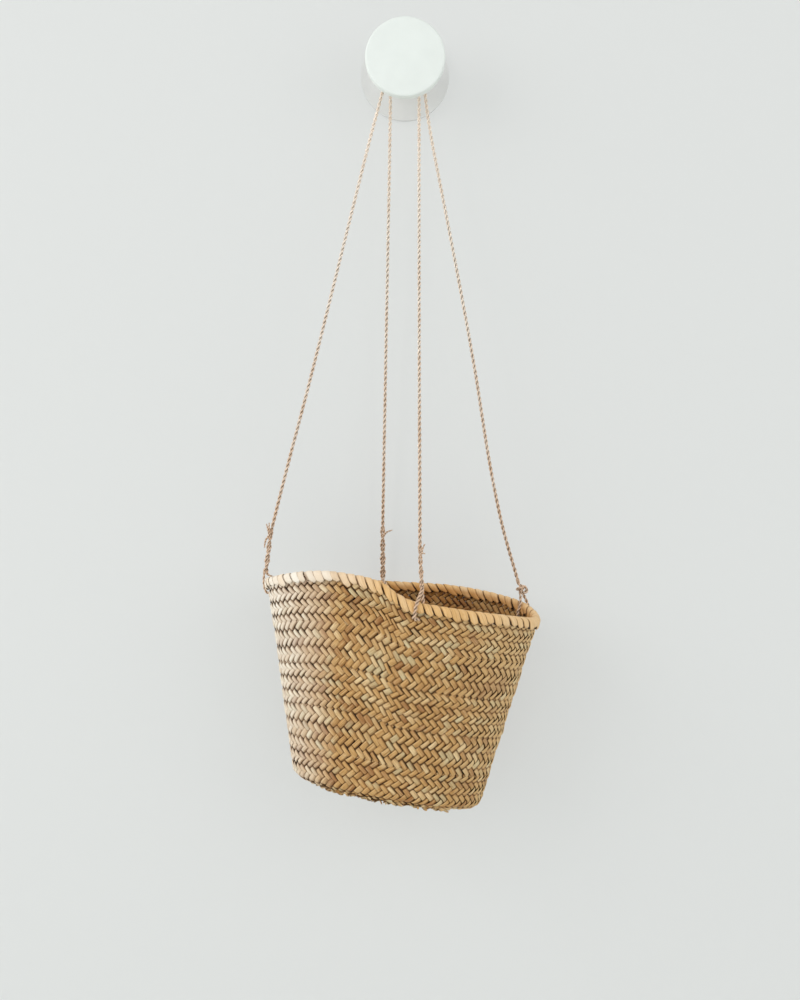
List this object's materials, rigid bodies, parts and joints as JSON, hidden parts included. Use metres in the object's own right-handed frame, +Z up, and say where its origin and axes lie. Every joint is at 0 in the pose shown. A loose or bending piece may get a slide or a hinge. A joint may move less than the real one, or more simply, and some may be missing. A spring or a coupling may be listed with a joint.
{
  "type": "hanging woven basket",
  "caption": "Oval basket plaited from flat palm leaf, hung by two twisted cords that run over the neck of a turned wall peg down to loops in its bound rim.",
  "frame": {"origin": "middle of the peg's back face, on the wall, at the mouth of its threaded insert", "axes": "+Y into the wall along the peg's axis, +Z up, +X to the right of someone who faces the wall"},
  "size_m": [0.2378, 0.1395, 0.6774],
  "materials": {
    "peg_paint": "white satin paint on turned wood",
    "insert_steel": "zinc-plated",
    "cord_fibre": "two-ply twisted plant fibre",
    "leaf_plait": "plaited dried palm leaf",
    "leaf_binding": "pale dried palm leaf, wrapped"
  },
  "bodies": {
    "wall_peg": {"peg_body": "peg_paint", "peg_insert": "insert_steel"},
    "cord_bights": {"cord_bight_inner": "cord_fibre", "cord_bight_outer": "cord_fibre"},
    "cord_legs": {"cord_leg_left": "cord_fibre", "cord_leg_right": "cord_fibre", "cord_leg_back": "cord_fibre", "cord_leg_front": "cord_fibre", "cord_splice_back": "cord_fibre", "cord_splice_front": "cord_fibre"},
    "basket": {"cord_splice_left": "cord_fibre", "cord_knot_right": "cord_fibre", "cord_eye_left": "cord_fibre", "cord_eye_right": "cord_fibre", "cord_eye_back": "cord_fibre", "cord_eye_front": "cord_fibre", "wall_course_1": "leaf_plait", "wall_course_2": "leaf_plait", "wall_course_3": "leaf_plait", "wall_course_4": "leaf_plait", "wall_course_5": "leaf_plait", "seam_cord_1": "cord_fibre", "seam_cord_2": "cord_fibre", "seam_cord_3": "cord_fibre", "seam_cord_4": "cord_fibre", "seam_cord_5": "cord_fibre", "seam_cord_base": "cord_fibre", "base_turn": "leaf_plait", "base_centre": "leaf_plait", "rim_core": "cord_fibre", "rim_binding": "leaf_binding"}
  },
  "joints": [
    {"name": "swing_along_wall", "type": "hinge", "parent": "wall_peg", "child": "cord_bights", "pos_m": [0, -0.031, 0], "axis": [0, 1, 0], "range_deg": [-20, 20]},
    {"name": "swing_off_wall", "type": "hinge", "parent": "cord_bights", "child": "cord_legs", "pos_m": [0, -0.031, 0], "axis": [-1, 0, 0], "range_deg": [0, 15]},
    {"name": "basket_rock", "type": "hinge", "parent": "cord_legs", "child": "basket", "pos_m": [-0.0001, -0.06985, -0.4476], "axis": [-0.2393, 0.9678, 0.0783], "range_deg": [-6, 6], "deforming": ["cord_leg_left", "cord_leg_right"]}
  ]
}
